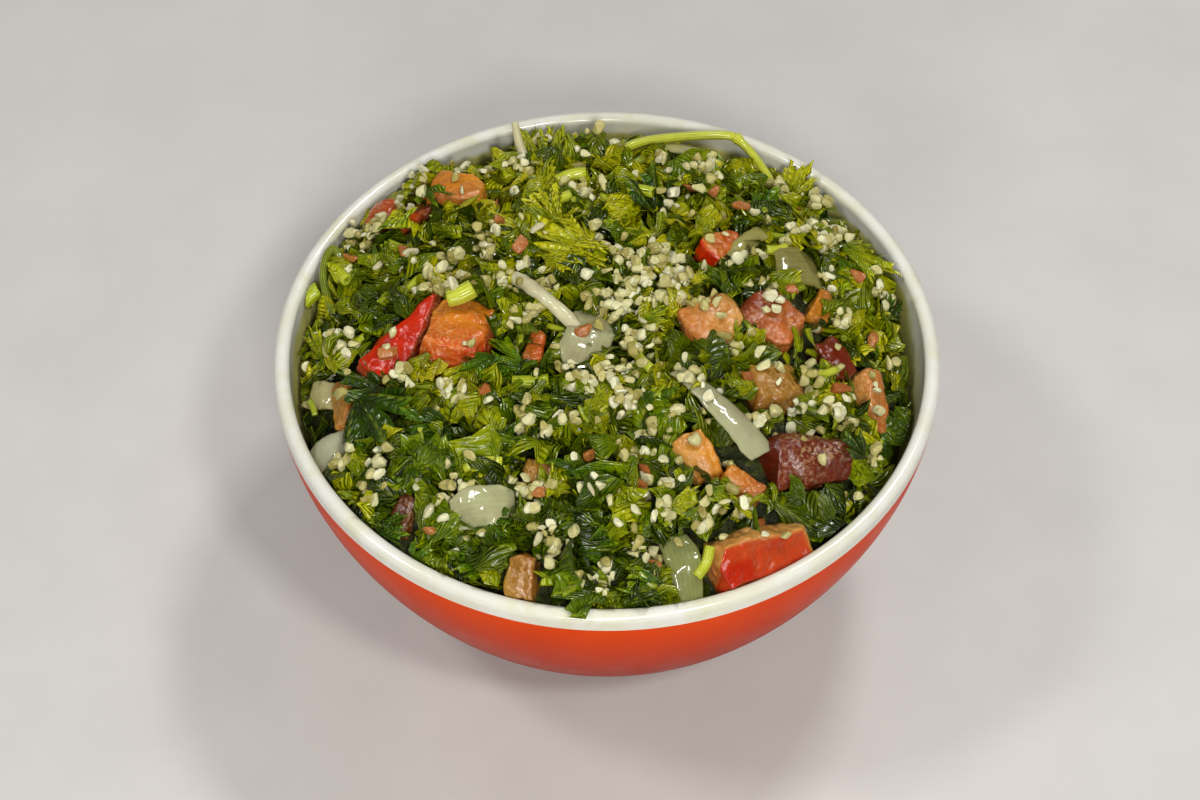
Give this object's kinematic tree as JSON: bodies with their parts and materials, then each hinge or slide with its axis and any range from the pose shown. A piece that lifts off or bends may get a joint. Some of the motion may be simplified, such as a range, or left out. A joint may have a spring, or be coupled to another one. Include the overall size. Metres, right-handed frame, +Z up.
{
  "type": "bowl of tabbouleh salad",
  "caption": "Round glazed bowl heaped with tabbouleh: chopped parsley and bulgur with diced tomato and sliced onion, a ready dish of food that stands on a table.",
  "frame": {"origin": "centre of the underside of the bowl's foot, on the surface that the bowl stands on", "axes": "+Z up along the bowl's axis, -Y towards the diner who looks down on the salad, +X to that diner's right"},
  "size_m": [0.145, 0.145, 0.0794],
  "materials": {
    "glazed_bowl": "gloss",
    "herb_salad": "satin",
    "tomato": "gloss",
    "onion": "satin",
    "parsley_leaf": "satin",
    "parsley_stem": "satin"
  },
  "bodies": {
    "root": {"bowl": "glazed_bowl", "leaf_light_middle": "parsley_leaf", "leaf_rim_back": "parsley_leaf", "leaf_rim_right": "parsley_leaf", "leaf_smooth_front": "parsley_leaf", "leaf_sprig_front": "parsley_leaf", "leaf_tuft_back": "parsley_leaf", "onion_chip_left": "onion", "onion_clear_right": "onion", "onion_curl_left": "onion", "onion_fold_middle": "onion", "onion_long_right": "onion", "onion_petal_front": "onion", "onion_slice_back": "onion", "onion_sliver_back": "onion", "onion_sliver_middle": "onion", "onion_square_front": "onion", "salad_heap": "herb_salad", "stem_arch": "parsley_stem", "tomato_back_left": "tomato", "tomato_brown_front": "tomato", "tomato_brown_right": "tomato", "tomato_dark_middle": "tomato", "tomato_dark_right": "tomato", "tomato_deep_left": "tomato", "tomato_edge_left": "tomato", "tomato_edge_right": "tomato", "tomato_fleshy_front": "tomato", "tomato_large_left": "tomato", "tomato_maroon_front": "tomato", "tomato_orange_edge": "tomato", "tomato_orange_right": "tomato", "tomato_red_front": "tomato", "tomato_rim_front": "tomato", "tomato_rim_left": "tomato", "tomato_seedy_left": "tomato", "tomato_sliver_middle": "tomato", "tomato_small_back": "tomato", "tomato_strip_front": "tomato", "tomato_wedge_left": "tomato"}
  },
  "joints": []
}
